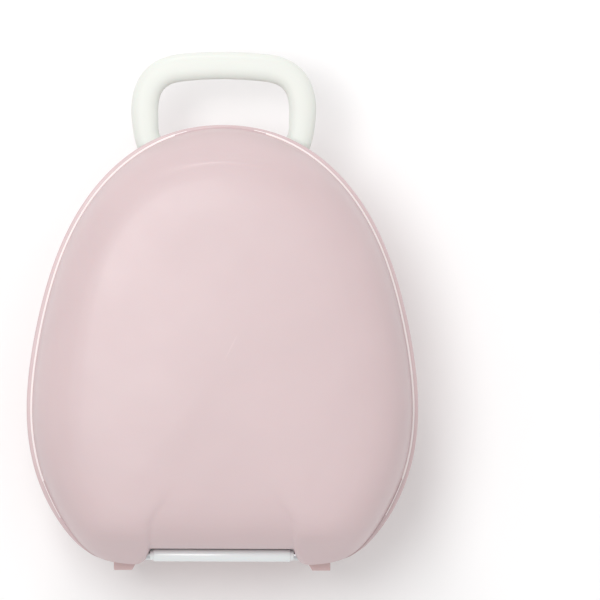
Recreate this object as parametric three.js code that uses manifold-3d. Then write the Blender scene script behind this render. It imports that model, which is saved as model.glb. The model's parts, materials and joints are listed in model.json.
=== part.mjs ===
// Carry-case potty: an egg-shaped clamshell case with a removable pot, a plug that seals the pot when
// the lid is shut, and a handle that folds down over the front wall. Millimetres, +Z up, the narrow
// front towards -Y, the lid hinge at the wide rear. The case is drawn about the egg's own centre and
// the finished group is moved along Y so that its box is centred on the origin.
import * as THREE from 'three';
import { mergeVertices } from 'three/addons/utils/BufferGeometryUtils.js';
import ManifoldModule from 'manifold-3d';

const wasm = await ManifoldModule();
wasm.setup();

// ---------------------------------------------------------------- driving dimensions
const EGG_RADIUS = 160.8;                                // mean radius of the case outline
const EGG_HARMONICS = [1, 0.114, 0.106, 0.048, 0.007];   // cosine terms that make the circle an egg
const CAP_SHARPNESS = 24;                                // how tightly flat ends blend into the egg
const FRONT_CAP = 217;                                   // plane that just blunts the egg's tip
const TONGUE_Y = 203.1;                                  // finger tongue on the lid
const TONGUE_HALF = 32;
const TONGUE_SHOULDER_Y = 200.1;
const HEEL_Y = 127.5;                                    // heels that the shut case stands on
const HEEL_OUT = 80.4;
const HANDLE_END_Y = 258;                                // far side of the handle when it is out
const FLOOR_SHELL = 8;                                   // underside of the base between its feet
const SHELF_TOP = 122;                                   // top of the white seat frame
const SHELF_THICK = 3;
const SKIRT_BOTTOM = 110;
const LID_TOP = 175;
const GAP = 0.3;                                         // between pieces that touch
const WALL = 2.6;                                        // moulded wall thickness
const HINGE_Y = 115.5;
const HINGE_Z = 129.8;
const KNUCKLE_R = 7.5;                                   // rear of the lid is rolled about the hinge
const BARREL_R = 4.65;
const BARREL_HALF = 53.2;                                // half length of the white hinge barrel
const REAR_LEAN = 0.61;                                  // lid rear leans in by this much per mm
const PIN_R = 2.5;
const OVAL_Y = -39;                                      // centre of the pot and of the plug
const OVAL_POWER = 2.35;
const GUARD_HALF = 51;                                   // half width of the splash guard
const GUARD_TOP = 162;
const GUARD_LEAN = 5;                                    // how far the guard's top leans outwards
const RING_TOP = 132;
const PIVOT_Y = -185;
const PIVOT_Z = 99;
const HANDLE_WIDE = 68.8;                                // half width over the legs
const HANDLE_BAR = 20.3;
const HANDLE_THICK = 17.4;
const STUB_HALF = 8;                                     // half width of the handle's inturned ends
const LATCH_Y = -190.5;                                  // stem of the latch hook
const APRON_HALF = 42;
const APRON_BOTTOM = 84;
const LID_BOTTOM = SHELF_TOP + GAP;
const EGG_STEPS = 52;
const OVAL_STEPS = 40;
const POT_STEPS = 56;
const CENTRE_SHIFT_Y = (HANDLE_END_Y - HEEL_Y) / 2;

// ---------------------------------------------------------------- materials
const plastic = (hex, roughness) => new THREE.MeshStandardMaterial({ color: hex, roughness, metalness: 0 });
const pinkShell = () => plastic(0xe0cccd, 0.55);
const pinkSoft = () => plastic(0xdec8cb, 0.7);
const whiteShell = () => plastic(0xf2f4f2, 0.4);
const greyRubber = () => plastic(0xb9b9b9, 0.9);
const steel = () => new THREE.MeshStandardMaterial({ color: 0xb8bcc0, roughness: 0.3, metalness: 1 });

// ---------------------------------------------------------------- solids from geometry and back
function solidOf(geometry) {
  const bare = geometry.clone();
  for (const name of Object.keys(bare.attributes)) {
    if (name !== 'position') bare.deleteAttribute(name);
  }
  const merged = mergeVertices(bare, 1e-4);
  return new wasm.Manifold(new wasm.Mesh({
    numProp: 3,
    vertProperties: new Float32Array(merged.attributes.position.array),
    triVerts: new Uint32Array(merged.index.array),
  }));
}

function geometryOf(solid) {
  const mesh = solid.getMesh();
  const geometry = new THREE.BufferGeometry();
  geometry.setAttribute('position', new THREE.BufferAttribute(new Float32Array(mesh.vertProperties), 3));
  geometry.setIndex(new THREE.BufferAttribute(new Uint32Array(mesh.triVerts), 1));
  geometry.computeVertexNormals();
  return geometry;
}

const join = (first, ...others) => others.reduce((sum, part) => sum.add(part), first);
const cut = (first, ...others) => others.reduce((rest, part) => rest.subtract(part), first);

function box(x0, x1, y0, y1, z0, z1) {
  const geometry = new THREE.BoxGeometry(x1 - x0, y1 - y0, z1 - z0);
  geometry.translate((x0 + x1) / 2, (y0 + y1) / 2, (z0 + z1) / 2);
  return solidOf(geometry);
}

function rod(axis, radius, from, to, x, y, z, sides = 16) {
  const geometry = new THREE.CylinderGeometry(radius, radius, to - from, sides);
  if (axis === 'x') geometry.rotateZ(-Math.PI / 2);
  if (axis === 'z') geometry.rotateX(Math.PI / 2);
  const along = (from + to) / 2;
  geometry.translate(axis === 'x' ? along : x, y, axis === 'z' ? along : z);
  return solidOf(geometry);
}

// ---------------------------------------------------------------- outlines
const softMin = (a, b) => (a ** -CAP_SHARPNESS + b ** -CAP_SHARPNESS) ** (-1 / CAP_SHARPNESS);

// Point on the case outline moved in by inset, with flat ends at y = -front and y = rear.
function eggPoint(theta, inset, front, rear) {
  const wave = EGG_HARMONICS.reduce((sum, size, order) => sum + size * Math.cos(order * theta), 0);
  let radius = EGG_RADIUS * wave - inset;
  const ahead = Math.cos(theta);
  if (ahead > 1e-3) radius = softMin(radius, front / ahead);
  if (ahead < -1e-3) radius = softMin(radius, rear / -ahead);
  return [radius * Math.sin(theta), -radius * ahead];
}

// Point on the oval of the pot and plug, half axes a across and b along.
function ovalPoint(theta, a, b) {
  const across = Math.abs(Math.sin(theta)) / a;
  const along = Math.abs(Math.cos(theta)) / b;
  const radius = (across ** OVAL_POWER + along ** OVAL_POWER) ** (-1 / OVAL_POWER);
  return [radius * Math.sin(theta), OVAL_Y - radius * Math.cos(theta)];
}

// Closed body whose section at each angle is ringAt(angle): a list of [x, y, z]. With ends it is
// closed on the axis at [x, y, z] below and above; without them the section closes on itself.
function aroundAxis(angles, ringAt, ends) {
  const sections = angles.map(ringAt);
  const rows = sections[0].length;
  const count = angles.length;
  const points = [];
  for (let row = 0; row < rows; row += 1) {
    for (const section of sections) points.push(...section[row]);
  }
  const triangles = [];
  const bands = ends ? rows - 1 : rows;
  for (let row = 0; row < bands; row += 1) {
    const next = (row + 1) % rows;
    for (let i = 0; i < count; i += 1) {
      const j = (i + 1) % count;
      triangles.push(row * count + i, row * count + j, next * count + j);
      triangles.push(row * count + i, next * count + j, next * count + i);
    }
  }
  if (ends) {
    const low = rows * count;
    points.push(...ends[0], ...ends[1]);
    for (let i = 0; i < count; i += 1) {
      const j = (i + 1) % count;
      triangles.push(low, j, i);
      triangles.push(low + 1, (rows - 1) * count + i, (rows - 1) * count + j);
    }
  }
  const geometry = new THREE.BufferGeometry();
  geometry.setAttribute('position', new THREE.Float32BufferAttribute(points, 3));
  geometry.setIndex(triangles);
  return solidOf(geometry);
}

const turn = (steps) => Array.from({ length: steps }, (_, i) => (2 * Math.PI * i) / steps);

// Rows are [inset, front, rear, z], from the axis below to the axis above.
function eggSolid(rows, lowZ, highZ) {
  const at = (theta) => rows.map(([inset, front, rear, z]) => [...eggPoint(theta, inset, front, rear), z]);
  return aroundAxis(turn(EGG_STEPS), at, [[0, 0, lowZ], [0, 0, highZ]]);
}

function eggRing(rows) {
  const at = (theta) => rows.map(([inset, front, rear, z]) => [...eggPoint(theta, inset, front, rear), z]);
  return aroundAxis(turn(EGG_STEPS), at, null);
}

// Rows are [a, b, z].
const ovalRows = (rows) => (theta) => rows.map(([a, b, z]) => [...ovalPoint(theta, a, b), z]);
const ovalEnds = (lowZ, highZ) => [[0, OVAL_Y, lowZ], [0, OVAL_Y, highZ]];
const ovalSolid = (rows, lowZ, highZ) => aroundAxis(turn(OVAL_STEPS), ovalRows(rows), ovalEnds(lowZ, highZ));
const ovalRing = (rows) => aroundAxis(turn(OVAL_STEPS), ovalRows(rows), null);

// ---------------------------------------------------------------- the group
const potty = new THREE.Group();
potty.position.y = CENTRE_SHIFT_Y;

function place(name, solid, material) {
  const mesh = new THREE.Mesh(geometryOf(solid), material);
  mesh.name = name;
  potty.add(mesh);
}

const SIDES = [['left', -1], ['right', 1]];
// Boxes with x given for the right side are mirrored for side = -1.
const sideBox = (side, x0, x1, y0, y1, z0, z1) => (
  side > 0 ? box(x0, x1, y0, y1, z0, z1) : box(-x1, -x0, y0, y1, z0, z1));
const sideRod = (side, radius, x0, x1, y, z, sides) => (
  side > 0 ? rod('x', radius, x0, x1, 0, y, z, sides) : rod('x', radius, -x1, -x0, 0, y, z, sides));

// ---------------------------------------------------------------- base shell, feet and screws
const BASE_SCREWS = [[107, 15], [92, -90], [60, 88]];
const BASE_TOP = SHELF_TOP - SHELF_THICK - GAP;
const BOSS_TOP = 99.8;
const FOOT_BOTTOM = 2.8;
const PAD_TOP = FOOT_BOTTOM - GAP;
const FOOT_SPANS = [['front', -152, -99], ['rear', 56, 100]];

function baseShell() {
  const outer = eggSolid([
    [25, 163, 98, FLOOR_SHELL],
    [21, 168, 103, FLOOR_SHELL + 1.5],
    [19.4, 169.5, 105, FLOOR_SHELL + 5],
    [11.5, 171, 111, 65],
    [4.3, 172, 116.5, BASE_TOP],
  ], FLOOR_SHELL, BASE_TOP);
  const hollow = eggSolid([
    [28, 160, 95, FLOOR_SHELL + 3],
    [24, 165, 100, FLOOR_SHELL + 4.5],
    [22.2, 166.7, 102.2, FLOOR_SHELL + 8],
    [14.3, 168.2, 108.2, 65],
    [7.1, 169.2, 113.7, BASE_TOP + 1],
  ], FLOOR_SHELL + 3, BASE_TOP + 1);
  let shell = outer.subtract(hollow);
  // finger recess behind the folded handle: a shallow arch with a deeper, smaller arch inside it
  const arch = (half, top, low) => {
    const shape = new THREE.Shape();
    shape.moveTo(-half, low);
    shape.lineTo(half, low);
    shape.lineTo(half, top - half * 0.45);
    shape.quadraticCurveTo(half * 0.85, top, half * 0.35, top);
    shape.lineTo(-half * 0.35, top);
    shape.quadraticCurveTo(-half * 0.85, top, -half, top - half * 0.45);
    return shape;
  };
  const archBlock = (half, top, low, y0, y1) => {
    const options = { depth: y1 - y0, bevelEnabled: false, curveSegments: 6 };
    const geometry = new THREE.ExtrudeGeometry(arch(half, top, low), options);
    geometry.rotateX(Math.PI / 2);
    geometry.translate(0, y1, 0);
    return solidOf(geometry);
  };
  shell = join(shell, archBlock(43, 79, 20, -167.5, -156), archBlock(30, 68, 24, -160, -138));
  shell = cut(shell, archBlock(40, 76, 23, -180, -159), archBlock(27, 65, 27, -170, -141));
  for (const [, side] of SIDES) {
    for (const [, y0, y1] of FOOT_SPANS) {
      const foot = eggRing([
        [31, 157, 92, FOOT_BOTTOM],
        [17.5, 171, 106.5, FOOT_BOTTOM],
        [16.6, 172, 107.5, FOOT_BOTTOM + 1.5],
        [16.6, 172, 107.5, 18],
        [19.8, 168, 104.5, 22],
        [31, 157, 92, 10],
      ]);
      shell = join(shell, foot.intersect(sideBox(side, 55, 150, y0, y1, 0, 30)));
    }
    // heels: ribs down the rear wall that the shut case can stand on
    const plan = new THREE.Shape();
    plan.moveTo(60, 90);
    plan.lineTo(HEEL_OUT, 90);
    plan.lineTo(HEEL_OUT, HEEL_Y);
    plan.lineTo(HEEL_OUT - 11.4, HEEL_Y);
    plan.lineTo(HEEL_OUT - 16.5, 118);
    const planGeometry = new THREE.ExtrudeGeometry(plan, { depth: 120, bevelEnabled: false });
    const profile = new THREE.Shape();
    profile.moveTo(90, FOOT_BOTTOM);
    profile.lineTo(111, FOOT_BOTTOM);
    profile.lineTo(113.5, FOOT_BOTTOM + 3);
    profile.lineTo(HEEL_Y, 62);
    profile.lineTo(HEEL_Y, 104);
    profile.lineTo(HEEL_Y - 3, SKIRT_BOTTOM - 2);
    profile.lineTo(90, SKIRT_BOTTOM - 2);
    const profileGeometry = new THREE.ExtrudeGeometry(profile, { depth: 40, bevelEnabled: false });
    profileGeometry.rotateX(Math.PI / 2);
    profileGeometry.rotateZ(Math.PI / 2);
    profileGeometry.translate(50, 0, 0);
    const rib = solidOf(planGeometry).intersect(solidOf(profileGeometry));
    const heelSolid = side > 0 ? rib : rib.mirror([1, 0, 0]);
    const inside = eggSolid([
      [23, 160, 101, 0],
      [13.3, 168.2, 109.2, 65],
      [6.1, 169.2, 114.7, BASE_TOP + 1],
    ], 0, BASE_TOP + 1);
    shell = join(shell, heelSolid.subtract(inside.intersect(box(-150, 150, 0, 130, FLOOR_SHELL + 1, 130))));
    for (const [x, y] of BASE_SCREWS) {
      shell = join(shell, rod('z', 5.6, FLOOR_SHELL + 1, BOSS_TOP, side * x, y, 0, 16));
      shell = cut(
        shell,
        rod('z', 3.9, FLOOR_SHELL - 2, BOSS_TOP - 7, side * x, y, 0, 12),
        rod('z', 2.2, FLOOR_SHELL, BOSS_TOP + 1, side * x, y, 0, 12),
      );
    }
  }
  return shell;
}
place('base_shell', baseShell(), pinkShell());

function footPad(side, y0, y1) {
  const pad = eggRing([
    [29.5, 158, 94, 0],
    [19.5, 168, 104, 0],
    [19, 168.5, 104.5, PAD_TOP],
    [30, 157.5, 93.5, PAD_TOP],
  ]);
  return pad.intersect(sideBox(side, 58, 150, y0 + 3, y1 - 3, -1, 10));
}
for (const [sideName, side] of SIDES) {
  for (const [endName, y0, y1] of FOOT_SPANS) {
    place(`foot_pad_${endName}_${sideName}`, footPad(side, y0, y1), greyRubber());
  }
}

// A pan-head screw along Z: head from headZ up by headHigh, then the shank to tipZ.
function screw(x, y, headZ, headHigh, headR, shankR, tipZ) {
  const away = Math.sign(tipZ - headZ);
  const profile = [
    [0, headZ], [headR * 0.8, headZ], [headR, headZ + away * headHigh * 0.4],
    [headR, headZ + away * headHigh], [shankR, headZ + away * headHigh], [shankR, tipZ - away], [0, tipZ],
  ].map(([r, z]) => new THREE.Vector2(r, z));
  const geometry = new THREE.LatheGeometry(away > 0 ? profile : profile.reverse(), 12);
  geometry.rotateX(Math.PI / 2);
  geometry.translate(x, y, 0);
  return solidOf(geometry);
}
BASE_SCREWS.forEach(([x, y], index) => {
  for (const [sideName, side] of SIDES) {
    const seatZ = BOSS_TOP - 7 - GAP;
    place(`base_screw_${index + 1}_${sideName}`, screw(side * x, y, seatZ - 2.7, 2.7, 3.4, 1.6, 113), steel());
  }
});

// ---------------------------------------------------------------- seat frame
const STOP_RIB_BOTTOM = PIVOT_Z + HANDLE_THICK / 2 + 0.5;   // the handle's arms lie under these ribs

function seatFrame() {
  const under = SHELF_TOP - SHELF_THICK;
  let frame = eggSolid([
    [4, 210, 116.8, under],
    [4, 210, 116.8, SKIRT_BOTTOM],
    [1, 213, 119.6, SKIRT_BOTTOM],
    [1, 213, 119.6, SHELF_TOP - 2.6],
    [1.9, 212, 118.8, SHELF_TOP - 0.8],
    [3.8, 210, 117, SHELF_TOP],
  ], under, SHELF_TOP);
  // barrel of the hinge on its web, between the two knuckles of the lid
  frame = join(
    frame,
    rod('x', BARREL_R, -BARREL_HALF, BARREL_HALF, 0, HINGE_Y, HINGE_Z, 20),
    box(-BARREL_HALF, BARREL_HALF, 111.5, 119.4, under + 1, HINGE_Z),
  );
  // apron between the ends of the handle: a front plate and a cheek for each pivot pin
  const apron = eggRing([
    [4, 210, 116, APRON_BOTTOM], [1, 213, 119, APRON_BOTTOM],
    [1, 213, 119, SKIRT_BOTTOM + 4], [4, 210, 116, SKIRT_BOTTOM + 4],
  ]);
  frame = join(frame, apron.intersect(box(-APRON_HALF, APRON_HALF, -210, -150, 80, 120)));
  for (const [, side] of SIDES) {
    frame = join(
      frame,
      sideBox(side, APRON_HALF - 9, APRON_HALF, -193.5, -173.5, 86, under + 0.5),
      sideBox(side, 54, 57.5, -187.9, -186.5, STOP_RIB_BOTTOM, under + 0.5),
    );
    frame = cut(
      frame,
      sideRod(side, PIN_R + GAP, APRON_HALF - 10, APRON_HALF + 1, PIVOT_Y, PIVOT_Z),
      sideRod(side, PIN_R + GAP, BARREL_HALF - 10, BARREL_HALF + 1, HINGE_Y, HINGE_Z),
    );
    for (const [x, y] of BASE_SCREWS) {
      frame = join(frame, rod('z', 4.8, BOSS_TOP + GAP, under + 0.5, side * x, y, 0, 16));
      frame = cut(frame, rod('z', 1.9, BOSS_TOP - 1, 116, side * x, y, 0, 12));
    }
  }
  const opening = ovalSolid([[76, 105, under - 2], [76, 105, SHELF_TOP + 2]], under - 2, SHELF_TOP + 2);
  const latchSlot = box(-10, 10, LATCH_Y - 4, LATCH_Y + 6, under - 2, SHELF_TOP + 2);
  return cut(frame, opening, latchSlot);
}
place('seat_frame', seatFrame(), whiteShell());

// ---------------------------------------------------------------- inner pot with ring and splash guard
const POT_BEND = 0.45;   // crowds the angular steps towards the guard

// 1 at the middle of the guard, 0 past its edges; x is taken on the foot of the guard.
function guardRise(theta) {
  const x = Math.abs(ovalPoint(theta, 84, 114)[0]) / GUARD_HALF;
  return Math.cos(theta) > 0 && x < 1 ? 0.5 + 0.5 * Math.cos(Math.PI * x * x) : 0;
}

function potSection(theta) {
  const rise = guardRise(theta);
  const nearGuard = Math.cos(theta) > 0 ? Math.exp(-(((Math.abs(theta > Math.PI ? 2 * Math.PI - theta : theta)
    - 0.47) / 0.12) ** 2)) : 0;
  const front = Math.max(Math.min(rise * 4, 1), 0);
  const ringTop = RING_TOP - 6 * nearGuard - (RING_TOP - 126) * front;
  const top = Math.max(ringTop, 124 + (GUARD_TOP - 124) * rise);
  const lean = ((top - 128) / (GUARD_TOP - 128)) * GUARD_LEAN * front;
  const lift = (share) => 126 + (top - 126) * share;
  const ring = 1 - front;
  return [
    [48, 70, 21.5], [58.5, 82.5, 31], [65.5, 92.5, 60], [70.5, 99, 95], [73.6, 102.6, 117],
    [74, 103, 123.5], [77, 106, 125], [95.2, 125.2, 124.6], [95.4, 125.4, SHELF_TOP + GAP],
    [98, 128, SHELF_TOP + GAP], [98, 128, 124.5 + 1.5 * ring],
    [93 + 1.5 * ring, 122.5 + 1.5 * ring, 126 + (ringTop - 126) * 0.6 * ring],
    [77.5 + lean * 0.6 + 11 * ring, 106.5 + lean * 0.6 + 11 * ring, lift(0.55 + 0.4 * ring)],
    [75.4 + lean + 6 * ring, 104.4 + lean + 6 * ring, top - 0.8],
    [73.4 + lean + 2 * ring, 102.4 + lean + 2 * ring, top - 0.2 * (1 + 2 * ring)],
    [71.6 + lean, 100.6 + lean, top - 1.4 - 1.4 * ring],
    [71.3 + lean * 0.4, 100.3 + lean * 0.4, Math.min(lift(0.4), top - 3)],
    [71, 100, 121], [70.5, 99.5, 116], [68, 96.5, 95], [63, 90, 60], [56, 80, 33], [46, 68, 24.5],
  ].map(([a, b, z]) => [...ovalPoint(theta, a, b), z]);
}

function innerPot() {
  const angles = turn(POT_STEPS).map((t) => t - POT_BEND * Math.sin(t));
  const pot = aroundAxis(angles, potSection, [[0, OVAL_Y, 20], [0, OVAL_Y, 22.5]]);
  // thumb tab on the foot of the guard, to lift the pot out with
  const tab = new THREE.CylinderGeometry(8, 8.6, 3, 20);
  tab.rotateX(Math.PI / 2);
  tab.translate(0, -165, 124);
  return join(pot, cut(solidOf(tab), box(-20, 20, -200, -100, 0, SHELF_TOP + GAP)));
}
place('inner_pot', innerPot(), whiteShell());

// ---------------------------------------------------------------- lid shell
// Rear face of the lid: rolled about the hinge below its axis, leaning forward above it.
function lidRear(z) {
  const drop = HINGE_Z - z;
  if (drop > 0) return HINGE_Y + Math.sqrt(Math.max(KNUCKLE_R ** 2 - drop ** 2, 0));
  return HINGE_Y + KNUCKLE_R + drop * REAR_LEAN;
}

function lidShell() {
  const outerRows = [
    [0.5, FRONT_CAP, lidRear(LID_BOTTOM) + 0.1, LID_BOTTOM],
    [0, FRONT_CAP, lidRear(124.3), 124.3],
    [2.9, 213, lidRear(125), 125],
    [3.4, 206, lidRear(HINGE_Z), HINGE_Z],
    [5.2, 200.6, lidRear(137), 137],
    [8.5, 192.2, lidRear(147), 147],
    [13.5, 185.4, lidRear(156.5), 156.5],
    [21, 181.6, lidRear(164), 164],
    [32, 190, 92, 169],
    [50, 180, 73, 172.3],
    [76, 160, 46, 174.2],
  ];
  let outer = eggSolid(outerRows, LID_BOTTOM, LID_TOP);
  const tongue = new THREE.Shape();
  tongue.moveTo(-TONGUE_HALF - 4, -190);
  tongue.lineTo(-TONGUE_HALF, -TONGUE_SHOULDER_Y);
  tongue.quadraticCurveTo(0, TONGUE_SHOULDER_Y - 2 * TONGUE_Y, TONGUE_HALF, -TONGUE_SHOULDER_Y);
  tongue.lineTo(TONGUE_HALF + 4, -190);
  const tongueGeometry = new THREE.ExtrudeGeometry(tongue, { depth: 5, bevelEnabled: false, curveSegments: 10 });
  tongueGeometry.translate(0, 0, LID_BOTTOM);
  outer = outer.add(solidOf(tongueGeometry));
  const cavityRows = (rearAt) => [
    [2.9, 213, rearAt(121), 121],
    [2.9, 213, rearAt(124.8), 124.8],
    [6, 203, rearAt(HINGE_Z), HINGE_Z],
    [7.9, 197.6, rearAt(137), 137],
    [11.2, 189.2, rearAt(147), 147],
    [16, 182.6, rearAt(155.5), 155.5],
    [22.8, 178.8, rearAt(162.2), 162.2],
    [33, 187, 89, 166.6],
    [50.5, 177.5, 71, 169.7],
    [76, 158, 44, 171.6],
  ];
  const cavity = eggSolid(cavityRows((z) => Math.min(105, lidRear(Math.max(z, HINGE_Z)) - WALL)), 121, 172.4);
  const deep = eggSolid(cavityRows((z) => Math.min(lidRear(Math.max(z, HINGE_Z)) - WALL, 119.5)), 121, 172.4);
  let shell = outer.subtract(cavity);
  for (const [, side] of SIDES) {
    shell = shell.subtract(deep.intersect(sideBox(side, 57, 130, 90, 130, 139, 170)));
    shell = shell.subtract(sideRod(side, PIN_R + GAP, 50, 72.3, HINGE_Y, HINGE_Z));
  }
  const notch = box(-BARREL_HALF - 0.6, BARREL_HALF + 0.6, HINGE_Y - BARREL_R - GAP, 140, 115, 160);
  return shell.subtract(notch);
}
place('lid_shell', lidShell(), pinkShell());

// ---------------------------------------------------------------- lid liner
const LINER_FACE = 147;   // visible face that the plug stands on
const LINER_THICK = 2.2;
const PLUG_SCREWS = [[38, -92], [38, 14]];

// Arched pocket over the splash guard. It follows the guard round the oval and sinks below the
// liner's face past the guard's edges.
function guardPocket(grow) {
  const floor = 138;
  const clear = GUARD_HALF + 6;
  const at = (theta) => {
    const x = Math.abs(ovalPoint(theta, 84, 114)[0]) / clear;
    const rise = Math.cos(theta) > 0 && x < 1 ? (1 - x * x) ** 0.75 : 0;
    const top = Math.min(Math.max(floor + 3, 128.5 + 38 * rise), 165.5) + 0.9 * grow;
    const up = (share) => floor + (top - floor) * share;
    return [
      [71.6 - grow, 100.6 - grow, floor], [101 + grow, 130 + grow, floor], [99.5 + grow, 128.5 + grow, up(0.7)],
      [96 + grow, 125 + grow, up(0.93)], [91, 120, up(1)], [84, 113, up(1)],
      [76 - grow, 105 - grow, up(0.95)], [71.6 - grow, 100.6 - grow, up(0.8)],
    ].map(([a, b, z]) => [...ovalPoint(theta, a, b), z]);
  };
  const angles = turn(POT_STEPS).map((t) => t - POT_BEND * Math.sin(t));
  return aroundAxis(angles, at, null);
}

function lidLiner() {
  const top = LINER_FACE + LINER_THICK;
  const dish = eggSolid([
    [40, 168, 82, LINER_FACE],
    [32, 174, 86, LINER_FACE - 2.5],
    [27.5, 180, 88.5, 140],
    [24.2, 187, 90, 130],
    [22.3, 191, 91, 123.6],
    [21.2, 193, 92, LID_BOTTOM],
    [3.2, 212.6, 104.7, LID_BOTTOM],
    [3.2, 212.6, 104.7, LID_BOTTOM + 2.4],
    [20, 194, 93.4, LID_BOTTOM + 2.4],
    [22, 189.5, 92.4, 130.2],
    [25.3, 182.5, 91, 140.8],
    [30, 177, 88.4, LINER_FACE - 0.4],
    [39, 170, 84, top],
  ], LINER_FACE, top);
  let liner = dish.add(guardPocket(LINER_THICK).intersect(box(-80, 80, -190, -90, 143, 170)));
  liner = cut(
    liner,
    guardPocket(0),
    box(-9.5, 9.5, LATCH_Y - 2.2, LATCH_Y + 3.2, 115, 130),
  );
  for (const [, side] of SIDES) {
    for (const [x, y] of PLUG_SCREWS) {
      liner = liner.subtract(rod('z', 2.3, 140, 160, side * x, y, 0, 12));
    }
  }
  return liner;
}
place('lid_liner', lidLiner(), whiteShell());

// ---------------------------------------------------------------- plug: carrier, gasket and cover
const PLUG_TOP = LINER_FACE - GAP;

function plugCarrier() {
  const outer = ovalSolid([[63, 92, 117.7], [63, 92, PLUG_TOP]], 117.7, PLUG_TOP);
  const hollow = ovalSolid([[60, 89, 120.4], [60, 89, 150]], 120.4, 150);
  let carrier = outer.subtract(hollow);
  for (const [, side] of SIDES) {
    for (const [x, y] of PLUG_SCREWS) {
      carrier = join(carrier, rod('z', 4.6, 119.5, PLUG_TOP, side * x, y, 0, 14));
      carrier = cut(carrier, rod('z', 1.9, 124, 150, side * x, y, 0, 12));
    }
  }
  return carrier;
}
place('plug_carrier', plugCarrier(), whiteShell());

function sealGasket() {
  const wide = (grow, z) => [66.4 + grow, 95.2 + grow, z];
  return ovalRing([
    [63.3, 92.3, 117.7], wide(0, 117.7), wide(1.2, 118.4), wide(3.6, 120.4), wide(3.6, 121.6), wide(1.2, 123.4),
    wide(1.2, 125), wide(3.6, 127), wide(3.6, 128.2), wide(1.2, 130), wide(1.2, 143),
    wide(2.4, 145), wide(2.4, PLUG_TOP), [63.3, 92.3, PLUG_TOP],
  ]);
}
place('seal_gasket', sealGasket(), pinkSoft());

const PLUG_FACE = 113;
place('plug_cover', ovalSolid([
  [58, 87, PLUG_FACE], [64, 93, PLUG_FACE + 0.7], [66, 95, PLUG_FACE + 2.2], [66.2, 95.2, 117.4],
], PLUG_FACE, 117.4), whiteShell());

for (const [sideName, side] of SIDES) {
  PLUG_SCREWS.forEach(([x, y], index) => {
    const headTop = LINER_FACE + LINER_THICK + GAP + 2.4;
    place(`plug_screw_${index + 1}_${sideName}`, screw(side * x, y, headTop, 2.4, 3.6, 1.6, 129), steel());
  });
}

// ---------------------------------------------------------------- latch hook in the lid
function latchHook() {
  const plateBottom = LID_BOTTOM + 2.4 + GAP;
  const side = new THREE.Shape();
  side.moveTo(LATCH_Y - 4, plateBottom + 2);
  side.lineTo(LATCH_Y - 4, plateBottom);
  side.lineTo(LATCH_Y - 1.3, plateBottom);
  side.lineTo(LATCH_Y - 1.3, 113.2);
  side.lineTo(LATCH_Y + 0.7, 112.4);
  side.lineTo(LATCH_Y + 2.5, 115);
  side.lineTo(LATCH_Y + 1.3, 118);
  side.lineTo(LATCH_Y + 1.3, plateBottom);
  side.lineTo(LATCH_Y + 4, plateBottom);
  side.lineTo(LATCH_Y + 4, plateBottom + 2);
  const geometry = new THREE.ExtrudeGeometry(side, { depth: 17, bevelEnabled: false });
  geometry.rotateX(Math.PI / 2);
  geometry.rotateZ(Math.PI / 2);
  geometry.translate(-8.5, 0, 0);
  return solidOf(geometry);
}
place('latch_hook', latchHook(), whiteShell());

// ---------------------------------------------------------------- hinge pins
for (const [sideName, side] of SIDES) {
  const x0 = BARREL_HALF - 9.6;
  place(`hinge_pin_${sideName}`, sideRod(side, PIN_R, x0, 72, HINGE_Y, HINGE_Z, 14), steel());
}

// ---------------------------------------------------------------- handle, its pins and bushes
const STUB_END = APRON_HALF + 0.5;
const BUSH_R = 4.5;

// Plan of the handle when it is out: a C whose ends turn in towards the apron.
function handlePlan() {
  const inner = HANDLE_WIDE - HANDLE_BAR;
  const stubRear = PIVOT_Y + STUB_HALF;
  const stubFront = PIVOT_Y - STUB_HALF;
  const elbow = PIVOT_Y - 1;
  const shape = new THREE.Shape();
  const farIn = -HANDLE_END_Y + HANDLE_BAR;
  shape.moveTo(STUB_END, stubRear);
  shape.lineTo(49, stubRear);
  shape.quadraticCurveTo(58, stubRear - 2.4, 66.5, elbow);
  shape.quadraticCurveTo(67.2, -196, HANDLE_WIDE, -220);
  shape.bezierCurveTo(HANDLE_WIDE + 0.4, -240, 60, -255.5, 36, -257.2);
  shape.quadraticCurveTo(0, -HANDLE_END_Y - 0.8, -36, -257.2);
  shape.bezierCurveTo(-60, -255.5, -HANDLE_WIDE - 0.4, -240, -HANDLE_WIDE, -220);
  shape.quadraticCurveTo(-67.2, -196, -66.5, elbow);
  shape.quadraticCurveTo(-58, stubRear - 2.4, -49, stubRear);
  shape.lineTo(-STUB_END, stubRear);
  shape.lineTo(-STUB_END, stubFront);
  shape.quadraticCurveTo(-inner + 1, stubFront, -inner, stubFront - 8);
  shape.lineTo(-inner - 0.2, -218);
  shape.bezierCurveTo(-inner - 0.2, -232, -44, farIn - 0.2, -30, farIn + 0.6);
  shape.quadraticCurveTo(0, farIn - 0.4, 30, farIn + 0.6);
  shape.bezierCurveTo(44, farIn - 0.2, inner + 0.2, -232, inner + 0.2, -218);
  shape.lineTo(inner, stubFront - 8);
  shape.quadraticCurveTo(inner - 1, stubFront, STUB_END, stubFront);
  return shape;
}

function carryHandle() {
  const round = 5;
  const options = {
    depth: HANDLE_THICK - 2 * round, bevelEnabled: true, bevelThickness: round, bevelSize: round,
    bevelOffset: -round, bevelSegments: 3, curveSegments: 6,
  };
  const geometry = new THREE.ExtrudeGeometry(handlePlan(), options);
  geometry.translate(0, 0, PIVOT_Z - HANDLE_THICK / 2 + round);
  let handle = solidOf(geometry);
  for (const [, side] of SIDES) {
    handle = handle.subtract(sideRod(side, BUSH_R + GAP, APRON_HALF - 1, 55.3, PIVOT_Y, PIVOT_Z));
  }
  return handle;
}
place('carry_handle', carryHandle(), whiteShell());

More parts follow.
